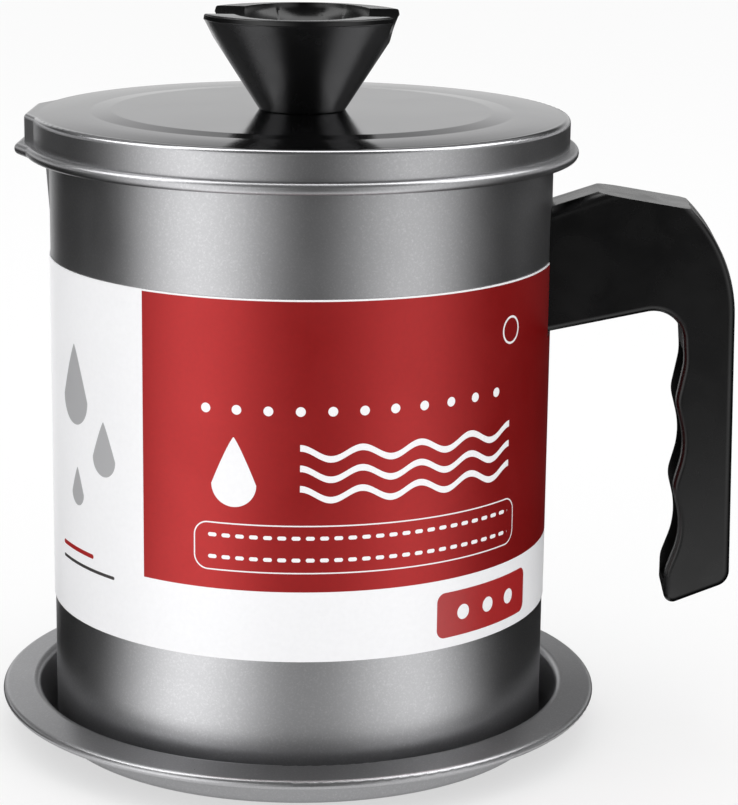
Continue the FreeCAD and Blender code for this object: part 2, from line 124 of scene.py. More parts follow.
class WeaveSettings(PropertyGroup):
    """The strainer's woven mesh."""
    pitch: FloatProperty(name="Wire pitch", description="Distance from wire to wire", unit="LENGTH",
                         min=0.0008, max=0.01, default=0.0015)
    wire_radius: FloatProperty(name="Wire radius", description="Half the wire's thickness", unit="LENGTH",
                               min=0.00005, max=0.001, default=0.00017)
    crimp: FloatProperty(name="Crimp", description="How far a wire swings to pass over another",
                         unit="LENGTH", min=0, max=0.001, default=0.00008)
    sides: IntProperty(name="Wire sides", description="Faces round a wire", min=3, max=12, default=4)


class StudioSettings(PropertyGroup):
    """Floor, lamps and surroundings."""
    floor: FloatVectorProperty(name="Floor", description="Colour of the floor", subtype="COLOR",
                               size=3, min=0, max=1, default=(0.66, 0.66, 0.66))
    fill: FloatProperty(name="Fill", description="Strength of the light from all round",
                        min=0, max=2, default=1.08)
    ceiling: FloatProperty(name="Ceiling", description="Brightness above the backdrop, as gloss shows it",
                           min=0, max=1, default=0.1)
    upper_back: FloatProperty(name="Upper back", description="Brightness high up behind the pot, in gloss",
                              min=0, max=1, default=0.4)
    left_lamp: FloatProperty(name="Left lamp", description="Power of the left softbox", unit="POWER",
                             min=0, default=0.9)
    right_lamp: FloatProperty(name="Right lamp", description="Power of the right softbox", unit="POWER",
                              min=0, default=0.7)
    left_glow: FloatProperty(name="Left glow", description="Brightness of the tent's left side in gloss",
                             min=0, max=5, default=1.75)
    right_glow: FloatProperty(name="Right glow", description="Brightness of the tent's right side in gloss",
                              min=0, max=5, default=1.15)
    near_glow: FloatProperty(name="Near glow", description="Extra brightness of the floor by the tray",
                             min=0, max=5, default=0.45)
    high_glow: FloatProperty(name="High glow", description="Brightness of the two high cards in gloss",
                             min=0, max=10, default=3.4)
    overhead_glow: FloatProperty(name="Overhead glow", description="Brightness of the overhead card in gloss",
                                 min=0, max=10, default=2.8)
    top_lamp: FloatProperty(name="Top lamp", description="Power of the softbox overhead", unit="POWER",
                            min=0, default=2.0)


# Short words for building node trees

class Bench:
    """A node tree with short words for adding nodes and joining them."""

    def __init__(self, tree):
        self.tree = tree
        self.count = 0

    def add(self, kind, inputs=None, **settings):
        node = self.tree.nodes.new(kind)
        node.location = (220 * (self.count // 5), -190 * (self.count % 5))
        self.count += 1
        for name, value in settings.items():
            setattr(node, name, value)
        for name, value in (inputs or {}).items():
            self.feed(node.inputs[name], value)
        return node

    def feed(self, socket, value):
        if isinstance(value, bpy.types.NodeSocket):
            self.tree.links.new(value, socket)
        else:
            socket.default_value = value

    def maths(self, operation, *values, clamp=False):
        node = self.add("ShaderNodeMath", operation=operation, use_clamp=clamp)
        for socket, value in zip(node.inputs, values):
            self.feed(socket, value)
        return node.outputs[0]

    def vector(self, operation, *values):
        node = self.add("ShaderNodeVectorMath", operation=operation)
        for socket, value in zip(node.inputs, values):
            self.feed(socket, value)
        return node.outputs[0]

    def span(self, value, low, high, to_low=0.0, to_high=1.0):
        node = self.add("ShaderNodeMapRange", clamp=True)
        for socket, given in zip(node.inputs, (value, low, high, to_low, to_high)):
            self.feed(socket, given)
        return node.outputs[0]

    def blend(self, factor, first, second):
        """Mix of two colours; a Mix node's colour sockets come after those for numbers and vectors."""
        node = self.add("ShaderNodeMix", data_type="RGBA")
        self.feed(node.inputs["Factor"], factor)
        self.feed(node.inputs[6], first)
        self.feed(node.inputs[7], second)
        return node.outputs[2]

    def chain(self, operation, *values):
        """One operation over several values in turn."""
        result = values[0]
        for value in values[1:]:
            result = self.maths(operation, result, value)
        return result

    def place(self):
        return self.add("ShaderNodeTexCoord").outputs["Object"]

    def apart(self, place):
        """The X, Y and Z of a place."""
        return self.add("ShaderNodeSeparateXYZ", {"Vector": place}).outputs

    def from_axis(self, place):
        """Distance of a place from the upright axis."""
        flat = self.vector("MULTIPLY", place, (1.0, 1.0, 0.0))
        return self.add("ShaderNodeVectorMath", {0: flat}, operation="LENGTH").outputs["Value"]

    def along(self, axis, value):
        """A vector of the given length along one axis."""
        return self.add("ShaderNodeCombineXYZ", {axis: value}).outputs[0]

    def grey(self, value):
        return self.add("ShaderNodeCombineColor", {"Red": value, "Green": value, "Blue": value}).outputs[0]


def colour(values, share=1.0):
    return (share * values[0], share * values[1], share * values[2], 1.0)


def shader_group(name, inputs, outputs, fill):
    """A shader node group with named sockets; fill(bench, inputs) returns its outputs' values."""
    made = bpy.data.node_groups.get(name)
    if made:
        return made
    tree = bpy.data.node_groups.new(name, "ShaderNodeTree")
    for socket_name, kind, default in inputs:
        socket = tree.interface.new_socket(name=socket_name, in_out="INPUT", socket_type=kind)
        if default is not None:
            socket.default_value = default
    for socket_name, kind in outputs:
        tree.interface.new_socket(name=socket_name, in_out="OUTPUT", socket_type=kind)
    bench = Bench(tree)
    given = bench.add("NodeGroupInput")
    results = fill(bench, given.outputs)
    target = bench.add("NodeGroupOutput")
    for socket_name, value in results.items():
        bench.feed(target.inputs[socket_name], value)
    return tree


def use_group(bench, tree, **values):
    """Places a group; names of inputs are given with _ for a space."""
    node = bench.add("ShaderNodeGroup", node_tree=tree)
    for name, value in values.items():
        bench.feed(node.inputs[name.replace("_", " ")], value)
    return node.outputs


def new_material(name):
    material = bpy.data.materials.new(name)
    material.use_nodes = True
    material.node_tree.nodes.clear()
    bench = Bench(material.node_tree)
    output = bench.add("ShaderNodeOutputMaterial")
    surface = bench.add("ShaderNodeBsdfPrincipled")
    bench.tree.links.new(surface.outputs[0], output.inputs["Surface"])
    return material, bench, surface


def dress(node_name, material, turned=False):
    """Gives a CAD node its material, and even normals if it is turned round the upright axis."""
    node = CAD_NODES[node_name]
    node.data.materials.clear()
    node.data.materials.append(material)
    if turned:
        even_normals(node.data)


def even_normals(mesh):
    """Meshing leaves a turned surface's normals uneven round the axis; this makes them even on each ring."""
    axis_room = 0.001
    most_sideways = 0.35
    fewest_corners = 24
    patches = patch_numbers(mesh)
    normals = [corner.vector.copy() for corner in mesh.corner_normals]
    rings = {}
    for loop in mesh.loops:
        spot = mesh.vertices[loop.vertex_index].co
        out = math.hypot(spot.x, spot.y)
        if out < axis_room:
            continue
        outward = Vector((spot.x / out, spot.y / out, 0.0))
        sideways = Vector((-outward.y, outward.x, 0.0))
        normal = normals[loop.index]
        if abs(normal.dot(sideways)) > most_sideways:
            continue
        ring = (patches[loop.vertex_index], round(out, 5), round(spot.z, 5))
        rings.setdefault(ring, []).append((loop.index, outward, normal.dot(outward), normal.z))
    for ring in rings.values():
        if len(ring) < fewest_corners:
            continue
        lean = math.atan2(sum(corner[3] for corner in ring), sum(corner[2] for corner in ring))
        for corner in ring:
            normals[corner[0]] = math.cos(lean) * corner[1] + Vector((0.0, 0.0, math.sin(lean)))
    mesh.normals_split_custom_set(normals)


def patch_numbers(mesh):
    """The patch that each vertex belongs to; the CAD mesh is split into patches along its sharp edges."""
    chief = list(range(len(mesh.vertices)))

    def find(index):
        while chief[index] != index:
            chief[index] = chief[chief[index]]
            index = chief[index]
        return index

    for edge in mesh.edges:
        first, second = edge.vertices
        chief[find(first)] = find(second)
    return [find(index) for index in range(len(chief))]


# Effects that several finishes share

FLOAT = "NodeSocketFloat"
VECTOR = "NodeSocketVector"
# Half the width over which a printed mark fades out
PRINT_EDGE = 0.00004


def inked(bench, distance):
    """1 inside a printed mark and 0 outside, from the distance to its edge, which is less than 0 inside."""
    return bench.span(distance, PRINT_EDGE, -PRINT_EDGE)


def fleck_group():
    """Bright flecks and fine pits of a sprayed coating."""
    def fill(bench, given):
        scale = bench.maths("DIVIDE", 1.0, given["Size"])
        cells = bench.add("ShaderNodeTexVoronoi", {"Vector": given["Place"], "Scale": scale})
        shade = bench.add("ShaderNodeSeparateColor", {"Color": cells.outputs["Color"]})
        flecks = bench.span(shade.outputs[0], 0.45, 1.0)
        noise_scale = bench.maths("MULTIPLY", scale, 0.55)
        noise = bench.add("ShaderNodeTexNoise", {"Vector": given["Place"], "Scale": noise_scale,
                                                 "Detail": 2.0, "Roughness": 0.6})
        cloud = bench.span(noise.outputs[0], 0.3, 0.7)
        mask = bench.maths("MULTIPLY", flecks, cloud)
        return {"Mask": mask, "Height": bench.maths("ADD", cloud, mask)}
    return shader_group("coating_flecks", [("Place", VECTOR, None), ("Size", FLOAT, 0.0004)],
                        [("Mask", FLOAT), ("Height", FLOAT)], fill)


def smudge_group():
    """Large soft differences in gloss, as handling and wiping leave them."""
    def fill(bench, given):
        scale = bench.maths("DIVIDE", 1.0, given["Size"])
        broad = bench.add("ShaderNodeTexNoise", {"Vector": given["Place"], "Scale": scale,
                                                 "Detail": 4.0, "Roughness": 0.55, "Distortion": 0.4})
        return {"Mask": bench.span(broad.outputs[0], 0.35, 0.68)}
    return shader_group("handling_smudges", [("Place", VECTOR, None), ("Size", FLOAT, 0.02)],
                        [("Mask", FLOAT)], fill)


def rounded_mark_group():
    """A printed box with rounded corners: its fill, and an outline of the given width."""
    def fill(bench, given):
        over = []
        for way, half in (("across", "Half width"), ("up", "Half height")):
            off = bench.maths("SUBTRACT", given[way.capitalize()], given["Centre " + way])
            straight = bench.maths("SUBTRACT", given[half], given["Corner"])
            over.append(bench.maths("SUBTRACT", bench.maths("ABSOLUTE", off), straight))
        out = [bench.maths("MAXIMUM", value, 0.0) for value in over]
        squares = [bench.maths("MULTIPLY", value, value) for value in out]
        outside = bench.maths("SQRT", bench.maths("ADD", *squares))
        inside = bench.maths("MINIMUM", bench.maths("MAXIMUM", *over), 0.0)
        distance = bench.maths("SUBTRACT", bench.maths("ADD", outside, inside), given["Corner"])
        half_line = bench.maths("MULTIPLY", given["Line"], 0.5)
        ring = bench.maths("ABSOLUTE", bench.maths("ADD", distance, half_line))
        ring = bench.maths("SUBTRACT", ring, half_line)
        return {"Fill": inked(bench, distance), "Outline": inked(bench, ring)}
    floats = ["Across", "Up", "Centre across", "Centre up", "Half width", "Half height", "Corner", "Line"]
    return shader_group("rounded_mark", [(name, FLOAT, 0.0) for name in floats],
                        [("Fill", FLOAT), ("Outline", FLOAT)], fill)


def drop_mark_group():
    """A printed oil drop: a disc that tapers upwards to a point. Its sizes are in radii of the disc."""
    tip = 2.1
    fullness = 0.85
    edge = 0.01

    def fill(bench, given):
        offsets = []
        for way in ("across", "up"):
            off = bench.maths("SUBTRACT", given[way.capitalize()], given["Centre " + way])
            offsets.append(bench.maths("DIVIDE", off, given["Radius"]))
        across, up = offsets
        taper = bench.span(bench.maths("MAXIMUM", up, 0.0), 0.0, tip, 1.0, 0.0)
        below = bench.maths("MINIMUM", up, 0.0)
        belly = bench.maths("SUBTRACT", 1.0, bench.maths("MULTIPLY", below, up))
        belly = bench.maths("SQRT", bench.maths("MAXIMUM", belly, 0.0))
        width = bench.maths("MULTIPLY", bench.maths("POWER", taper, fullness), belly)
        gap = bench.maths("SUBTRACT", bench.maths("ABSOLUTE", across), width)
        inside = bench.span(gap, edge, -edge)
        high_enough = bench.span(up, -1.0 - edge, -1.0 + edge)
        low_enough = bench.span(up, tip, tip - 2 * edge)
        return {"Fill": bench.chain("MULTIPLY", inside, high_enough, low_enough)}
    floats = ["Across", "Up", "Centre across", "Centre up", "Radius"]
    return shader_group("drop_mark", [(name, FLOAT, 0.0) for name in floats], [("Fill", FLOAT)], fill)


def wave_mark_group():
    """A printed wavy line of even thickness between two places along the wall."""
    def fill(bench, given):
        turn = bench.maths("MULTIPLY", bench.maths("DIVIDE", given["Across"], given["Length"]), 2 * math.pi)
        swing = bench.maths("MULTIPLY", bench.maths("SINE", turn), given["Swing"])
        level = bench.maths("ADD", given["Centre up"], swing)
        off = bench.maths("ABSOLUTE", bench.maths("SUBTRACT", given["Up"], level))
        line = inked(bench, bench.maths("SUBTRACT", off, given["Half line"]))
        begun = inked(bench, bench.maths("SUBTRACT", given["Start"], given["Across"]))
        ended = inked(bench, bench.maths("SUBTRACT", given["Across"], given["End"]))
        return {"Fill": bench.chain("MULTIPLY", line, begun, ended)}
    floats = ["Across", "Up", "Start", "End", "Centre up", "Length", "Swing", "Half line"]
    return shader_group("wave_mark", [(name, FLOAT, 0.0) for name in floats], [("Fill", FLOAT)], fill)


def dash_row_group():
    """A printed row of short rounded dashes between two places along the wall."""
    def fill(bench, given):
        start, end = given["Start"], given["End"]
        half_pitch = bench.maths("MULTIPLY", given["Pitch"], 0.5)
        along = bench.maths("WRAP", bench.maths("SUBTRACT", given["Across"], start), half_pitch,
                            bench.maths("MULTIPLY", half_pitch, -1.0))
        mark = use_group(bench, rounded_mark_group(), Across=along, Up=given["Up"], Centre_up=given["Level"],
                         Half_width=given["Half width"], Half_height=given["Half height"],
                         Corner=given["Half height"])
        begun = bench.maths("GREATER_THAN", given["Across"], bench.maths("SUBTRACT", start, half_pitch))
        ended = bench.maths("LESS_THAN", given["Across"], end)
        return {"Fill": bench.chain("MULTIPLY", mark["Fill"], begun, ended)}
    floats = ["Across", "Up", "Start", "End", "Level", "Pitch", "Half width", "Half height"]
    return shader_group("dash_row", [(name, FLOAT, 0.0) for name in floats], [("Fill", FLOAT)], fill)


# Finishes

def smudged(bench, place, size, roughness, less, more):
    """Roughness that smudges of a size take from a bit less to a bit more."""
    smudges = use_group(bench, smudge_group(), Place=place, Size=size)
    return bench.span(smudges["Mask"], 0.0, 1.0, roughness - less, roughness + more)


def feed_finish(bench, surface, tone, roughness, relief, strength, depth):
    """Gives a surface its colour, its roughness and its relief."""
    bump = bench.add("ShaderNodeBump", {"Strength": strength, "Distance": depth, "Height": relief})
    bench.feed(surface.inputs["Base Color"], tone)
    bench.feed(surface.inputs["Roughness"], roughness)
    bench.feed(surface.inputs["Normal"], bump.outputs[0])


def coated_steel(settings, name, polished_above=None):
    """Grey sprayed coating with flecks; above a level it is smooth, as on the lid's top."""
    smudge_size = 0.03
    fleck_shine = 0.04
    fade_height = 0.0006
    fleck_share = 0.18
    material, bench, surface = new_material(name)
    place = bench.place()
    flecks = use_group(bench, fleck_group(), Place=place, Size=settings.fleck_size)
    tone = bench.blend(flecks["Mask"], colour(settings.colour), colour(settings.fleck_colour))
    roughness = smudged(bench, place, smudge_size, settings.roughness, less=0.02, more=0.03)
    roughness = bench.maths("SUBTRACT", roughness, bench.maths("MULTIPLY", flecks["Mask"], fleck_shine))
    relief = flecks["Height"]
    if polished_above is not None:
        top = bench.span(bench.apart(place)["Z"], polished_above - fade_height, polished_above)
        smooth = smudged(bench, place, smudge_size, settings.lid_roughness, less=0.0, more=0.03)
        roughness = bench.add("ShaderNodeMix", {"Factor": top, "A": roughness, "B": smooth}).outputs[0]
        plain = bench.blend(fleck_share, colour(settings.colour), colour(settings.fleck_colour))
        tone = bench.blend(top, tone, plain)
        relief = bench.maths("MULTIPLY", relief, bench.maths("SUBTRACT", 1.0, top))
    feed_finish(bench, surface, tone, roughness, relief, strength=0.12, depth=0.00003)
    surface.inputs["Metallic"].default_value = 1.0
    surface.inputs["Specular Tint"].default_value = (0.6, 0.6, 0.6, 1.0)
    return material


def bakelite(settings, name, roughness):
    """Black moulded resin with a faint flow pattern and a fine texture."""
    material, bench, surface = new_material(name)
    place = bench.place()
    flow = bench.add("ShaderNodeTexNoise", {"Vector": place, "Scale": 60.0, "Detail": 3.0, "Distortion": 1.2})
    flow_mask = bench.span(flow.outputs[0], 0.4, 0.7)
    tone = bench.blend(flow_mask, colour(settings.colour), colour(settings.colour, share=2.1))
    roughness = smudged(bench, place, 0.012, roughness, less=0.03, more=0.05)
    grain = bench.add("ShaderNodeTexNoise", {"Vector": place, "Scale": 2600.0, "Detail": 2.0})
    feed_finish(bench, surface, tone, roughness, grain.outputs[0], strength=0.08, depth=0.00002)
    surface.inputs["IOR"].default_value = 1.5
    surface.inputs["Specular IOR Level"].default_value = 0.43
    return material


def bare_metal(metal, name, roughness):
    """Steel or brass with fine turned lines round the upright axis."""
    material, bench, surface = new_material(name)
    place = bench.place()
    rings = bench.add("ShaderNodeCombineXYZ", {"X": bench.from_axis(place), "Z": bench.apart(place)["Z"]})
    lines = bench.add("ShaderNodeTexNoise", {"Vector": rings.outputs[0], "Scale": 2400.0, "Detail": 2.0})
    tone = bench.blend(bench.span(lines.outputs[0], 0.35, 0.65), colour(metal, share=0.82), colour(metal))
    roughness = smudged(bench, place, 0.01, roughness, less=0.04, more=0.06)
    feed_finish(bench, surface, tone, roughness, lines.outputs[0], strength=0.12, depth=0.00002)
    surface.inputs["Metallic"].default_value = 1.0
    return material


class PrintedSide:
    """One side of the label; marks are placed by lengths along the wall from its middle and by heights."""

    def __init__(self, bench, across, up):
        self.bench = bench
        self.where = {"Across": across, "Up": up}

    def box(self, left, right, low, high, corner, line=0.0):
        return use_group(self.bench, rounded_mark_group(), **self.where, Centre_across=(left + right) / 2,
                         Centre_up=(low + high) / 2, Half_width=(right - left) / 2,
                         Half_height=(high - low) / 2, Corner=corner, Line=line)

    def drop(self, middle, level, radius):
        return use_group(self.bench, drop_mark_group(), **self.where, Centre_across=middle,
                         Centre_up=level, Radius=radius)["Fill"]

    def wave(self, start, end, level, length=0.014, swing=0.0013, half_line=0.00075):
        return use_group(self.bench, wave_mark_group(), **self.where, Start=start, End=end,
                         Centre_up=level, Length=length, Swing=swing, Half_line=half_line)["Fill"]

    def dashes(self, start, end, level, pitch, half_width, half_height):
        return use_group(self.bench, dash_row_group(), **self.where, Start=start, End=end, Level=level,
                         Pitch=pitch, Half_width=half_width, Half_height=half_height)["Fill"]


def red_marks(settings, front, back):
    """The panel, which runs on past the handle, and the badge, a short line and the marks behind."""
    handle_place = LABEL_RADIUS * math.pi / 2
    past_handle = 0.01
    white_edge = 0.0004
    panel = front.box(settings.panel_start, handle_place + past_handle, settings.panel_low,
                      LABEL_TOP - white_edge, corner=0.0)["Fill"]
    badge = front.box(0.0367, 0.0685, 0.0366, 0.0475, corner=0.0022)["Fill"]
    short_line = front.box(-0.0680, -0.0520, 0.0510, 0.0521, corner=0.0005)["Fill"]
    back_frame = back.box(-0.024, 0.044, 0.056, 0.1, corner=0.003, line=0.0004)["Outline"]
    back_band = back.box(-0.024, 0.044, 0.1048, 0.1132, corner=0.002)["Fill"]
    return panel, [badge, short_line, back_frame, back_band]


def white_marks(front):
    """What is left white in the panel and the badge: a frame, a ring, a drop, waves and rows of dashes."""
    row_end = 0.0594
    marks = [
        front.box(-0.021, 0.062, 0.0550, 0.0663, corner=0.0034, line=0.0003)["Outline"],
        front.box(0.056, 0.0626, 0.103, 0.1096, corner=0.0033, line=0.0005)["Outline"],
        front.drop(-0.0115, 0.0753, radius=0.0052),
        front.dashes(-0.018, row_end, 0.0925, pitch=0.0072, half_width=0.0011, half_height=0.0011),
        front.dashes(0.0444, 0.0632, 0.04205, pitch=0.0082, half_width=0.0018, half_height=0.0018),
    ]
    for level in (0.0735, 0.0782, 0.0829):
        marks.append(front.wave(0.0035, row_end, level))
    for level in (0.0633, 0.0582):
        marks.append(front.dashes(-0.0165, row_end, level, pitch=0.0032, half_width=0.001,
                                  half_height=0.00045))
    return marks


def dark_marks(front, back):
    """A line on the front and seven rows of dashes behind."""
    marks = [front.box(-0.0680, -0.0440, 0.0478, 0.0486, corner=0.0004)["Fill"]]
    for row in range(7):
        marks.append(back.dashes(-0.019, 0.0385, 0.0615 + 0.0055 * row, pitch=0.0048, half_width=0.0016,
                                 half_height=0.0005))
    return marks


def label_print(settings):
    """Coated paper with a red panel, a badge and plain geometric marks."""
    grey_ink = (0.42, 0.42, 0.43)
    dark_ink = (0.05, 0.045, 0.045)
    foil_shine = 0.55
    material, bench, surface = new_material("label_print")
    place = bench.place()
    east, north, up = bench.apart(place)
    west = bench.maths("MULTIPLY", east, -1.0)
    south = bench.maths("MULTIPLY", north, -1.0)
    front_way = bench.maths("MULTIPLY", bench.maths("ARCTAN2", east, south), LABEL_RADIUS)
    back_way = bench.maths("MULTIPLY", bench.maths("ARCTAN2", west, north), LABEL_RADIUS)
    front = PrintedSide(bench, front_way, up)
    back = PrintedSide(bench, back_way, up)

    panel, other_red = red_marks(settings, front, back)
    white = bench.chain("MAXIMUM", *white_marks(front))
    grey = bench.chain("MAXIMUM", front.drop(-0.0600, 0.0880, radius=0.0062),
                       front.drop(-0.0475, 0.0760, radius=0.0042), front.drop(-0.0590, 0.0655, radius=0.0030))

    fibre = bench.add("ShaderNodeTexNoise", {"Vector": place, "Scale": 900.0, "Detail": 3.0})
    fibre_mask = bench.span(fibre.outputs[0], 0.3, 0.7)
    paper = bench.blend(fibre_mask, colour(settings.paper, share=0.975), colour(settings.paper))
    red = bench.blend(fibre_mask, colour(settings.panel, share=0.93), colour(settings.panel))
    tone = bench.blend(bench.chain("MAXIMUM", panel, *other_red), paper, red)
    tone = bench.blend(grey, tone, colour(grey_ink))
    tone = bench.blend(bench.chain("MAXIMUM", *dark_marks(front, back)), tone, colour(dark_ink))
    tone = bench.blend(white, tone, paper)
    roughness = smudged(bench, place, 0.02, settings.roughness, less=0.03, more=0.05)
    feed_finish(bench, surface, tone, roughness, fibre.outputs[0], strength=0.1, depth=0.00003)
    foil = bench.maths("SUBTRACT", foil_shine, bench.maths("MULTIPLY", white, foil_shine))
    bench.feed(surface.inputs["Metallic"], bench.maths("MULTIPLY", panel, foil))
    surface.inputs["Specular IOR Level"].default_value = 0.9
    return material


# The strainer's woven mesh

def wire_set(bench, given, along, across, crimp):
    """Crimped wires side by side, lying along one axis and set out across the other, cut to the opening."""
    rows = bench.maths("FLOOR", bench.maths("DIVIDE", given["Radius"], given["Pitch"]))
    wire_count = bench.maths("ADD", bench.maths("MULTIPLY", rows, 2.0), 1.0)
    point_count = bench.maths("ADD", bench.maths("MULTIPLY", rows, 4.0), 1.0)
    reach = bench.maths("MULTIPLY", rows, given["Pitch"])
    back = bench.maths("MULTIPLY", reach, -1.0)
    line = bench.add("GeometryNodeCurvePrimitiveLine", {"Start": bench.along(along, back),
                                                        "End": bench.along(along, reach)})
    fine = bench.add("GeometryNodeResampleCurve", {"Curve": line.outputs[0], "Count": point_count})
    first = bench.along(across, back)
    step = bench.along(across, given["Pitch"])
    spots = bench.add("GeometryNodeMeshLine", {"Count": wire_count, "Start Location": first, "Offset": step})
    laid = bench.add("GeometryNodeInstanceOnPoints", {"Points": spots.outputs[0],
                                                      "Instance": fine.outputs[0]})
    real = bench.add("GeometryNodeRealizeInstances", {"Geometry": laid.outputs[0]})
    where = bench.add("GeometryNodeInputPosition").outputs[0]
    apart = bench.apart(where)
    steps = bench.maths("DIVIDE", bench.maths("ADD", apart["X"], apart["Y"]), given["Pitch"])
    swing = bench.maths("MULTIPLY", bench.maths("COSINE", bench.maths("MULTIPLY", steps, math.pi)), crimp)
    lift = bench.along("Z", bench.maths("ADD", swing, given["Level"]))
    bent = bench.add("GeometryNodeSetPosition", {"Geometry": real.outputs[0], "Offset": lift})
    outside = bench.maths("GREATER_THAN", bench.from_axis(where), given["Radius"])
    kept = bench.add("GeometryNodeDeleteGeometry", {"Geometry": bent.outputs[0], "Selection": outside})
    return kept.outputs[0]


def weave_tree(steel):
    """Geometry nodes that lay two sets of crimped wires across a round opening."""
    tree = bpy.data.node_groups.new("strainer_weave", "GeometryNodeTree")
    for name, kind, default in (("Radius", FLOAT, 0.05), ("Level", FLOAT, 0.0), ("Pitch", FLOAT, 0.0015),
                                ("Wire radius", FLOAT, 0.0002), ("Crimp", FLOAT, 0.0001),
                                ("Sides", "NodeSocketInt", 4)):
        socket = tree.interface.new_socket(name=name, in_out="INPUT", socket_type=kind)
        socket.default_value = default
    tree.interface.new_socket(name="Geometry", in_out="OUTPUT", socket_type="NodeSocketGeometry")
    bench = Bench(tree)
    given = bench.add("NodeGroupInput").outputs
    under = bench.maths("MULTIPLY", given["Crimp"], -1.0)
    both = bench.add("GeometryNodeJoinGeometry")
    for wires in (wire_set(bench, given, "Y", "X", given["Crimp"]), wire_set(bench, given, "X", "Y", under)):
        bench.tree.links.new(wires, both.inputs[0])
    profile = bench.add("GeometryNodeCurvePrimitiveCircle", {"Resolution": given["Sides"],
                                                            "Radius": given["Wire radius"]})
    tube = bench.add("GeometryNodeCurveToMesh", {"Curve": both.outputs[0], "Fill Caps": True,
                                                 "Profile Curve": profile.outputs[0]})
    smooth = bench.add("GeometryNodeSetShadeSmooth", {"Geometry": tube.outputs[0]})
    real = bench.add("GeometryNodeRealizeInstances", {"Geometry": smooth.outputs[0]})
    finish = bench.add("GeometryNodeSetMaterial", {"Geometry": real.outputs[0], "Material": steel})
    target = bench.add("NodeGroupOutput")
    bench.tree.links.new(finish.outputs[0], target.inputs[0])
    return tree


def set_modifier_input(modifier, name, value):
    for item in modifier.node_group.interface.items_tree:
        if item.name == name and item.in_out == "INPUT":
            modifier[item.identifier] = value
            return
    raise RuntimeError("the tree has no input named " + name)


def plain_mesh(holder, name, material):
    """Turns an object's evaluated shape into a new plain mesh object and removes the holder."""
    bpy.context.view_layer.update()
    graph = bpy.context.evaluated_depsgraph_get()
    mesh = bpy.data.meshes.new_from_object(holder.evaluated_get(graph))
    bpy.data.objects.remove(holder)
    mesh.name = name
    mesh.materials.clear()
    mesh.materials.append(material)
    piece = bpy.data.objects.new(name, mesh)
    bpy.context.scene.collection.objects.link(piece)
    return piece


# Steps, one for each piece or group of like pieces

class OILPOT_OT_coated_pieces(Operator):
    """Coats the drip tray, the pot and the lid"""
    bl_idname = "oilpot.coated_pieces"
    bl_label = "Coat tray, pot and lid"

    def execute(self, context):
        settings = context.scene.oilpot_coat
        coat = coated_steel(settings, "coated_steel")
        dress("drip_tray", coat, turned=True)
        dress("pot_body", coat, turned=True)
        rim_depth = 0.0002
        lid_coat = coated_steel(settings, "coated_lid", polished_above=LID_RIM_LEVEL - rim_depth)
        dress("lid_shell", lid_coat, turned=True)
        return {"FINISHED"}


class OILPOT_OT_label(Operator):
    """Prints the label"""
    bl_idname = "oilpot.label"
    bl_label = "Print the label"

    def execute(self, context):
        dress("label_wrap", label_print(context.scene.oilpot_label))
        return {"FINISHED"}


class OILPOT_OT_handle(Operator):
    """Finishes the handle in bakelite"""
    bl_idname = "oilpot.handle"
    bl_label = "Finish the handle"

    def execute(self, context):
        settings = context.scene.oilpot_bakelite
        dress("handle_grip", bakelite(settings, "handle_bakelite", settings.handle_roughness))
        return {"FINISHED"}


class OILPOT_OT_knob(Operator):
    """Finishes the knob in bakelite"""
    bl_idname = "oilpot.knob"
    bl_label = "Finish the knob"

    def execute(self, context):
        settings = context.scene.oilpot_bakelite
        dress("lid_knob", bakelite(settings, "knob_bakelite", settings.knob_roughness), turned=True)
        return {"FINISHED"}


class OILPOT_OT_strainer(Operator):
    """Finishes the strainer's cup and ring and weaves its mesh"""
    bl_idname = "oilpot.strainer"
    bl_label = "Finish the strainer"

    def execute(self, context):
        steel = bare_metal(context.scene.oilpot_steel.steel, "strainer_steel", 0.26)
        dress("strainer_cup", steel, turned=True)
        dress("strainer_ring", steel, turned=True)
        settings = context.scene.oilpot_weave
        holder = bpy.data.objects.new("weave_holder", bpy.data.meshes.new("weave_holder"))
        context.scene.collection.objects.link(holder)
        modifier = holder.modifiers.new("weave", "NODES")
        modifier.node_group = weave_tree(steel)
        side_gap = 0.0002
        set_modifier_input(modifier, "Radius", MESH_HIGH.x - side_gap)
        set_modifier_input(modifier, "Level", (MESH_LOW.z + MESH_HIGH.z) / 2)
        set_modifier_input(modifier, "Pitch", settings.pitch)
        set_modifier_input(modifier, "Wire radius", settings.wire_radius)
        set_modifier_input(modifier, "Crimp", settings.crimp)
        set_modifier_input(modifier, "Sides", settings.sides)
        weave = plain_mesh(holder, "strainer_weave", steel)
        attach(weave, "strainer")
        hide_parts("strainer_mesh")
        return {"FINISHED"}


class OILPOT_OT_fixings(Operator):
    """Finishes the bracket, screws, washers and inserts"""
    bl_idname = "oilpot.fixings"
    bl_label = "Finish the fixings"

    def execute(self, context):
        settings = context.scene.oilpot_steel
        steel = bare_metal(settings.steel, "fixing_steel", 0.32)
        for name in ("handle_bracket", "handle_washer", "handle_screw", "knob_washer", "knob_screw"):
            dress(name, steel)
        brass = bare_metal(settings.brass, "insert_brass", 0.3)
        dress("handle_insert", brass)
        dress("knob_insert", brass)
        return {"FINISHED"}


# The studio

def stage_mesh(name, points, faces, material):
    """A sheet of the studio."""
    mesh = bpy.data.meshes.new(name)
    mesh.from_pydata([Vector(point) for point in points], [], faces)
    mesh.materials.append(material)
    card = bpy.data.objects.new(name, mesh)
    bpy.context.scene.collection.objects.link(card)
    return card


def flat_card(name, corners, material):
    """A flat four-cornered sheet of the studio."""
    return stage_mesh(name, corners, [(0, 1, 2, 3)], material)


def gloss_only(card):
    """Hides a card from everything but gloss."""
    for part in ("camera", "diffuse", "transmission", "volume_scatter", "shadow"):
        setattr(card, "visible_" + part, False)


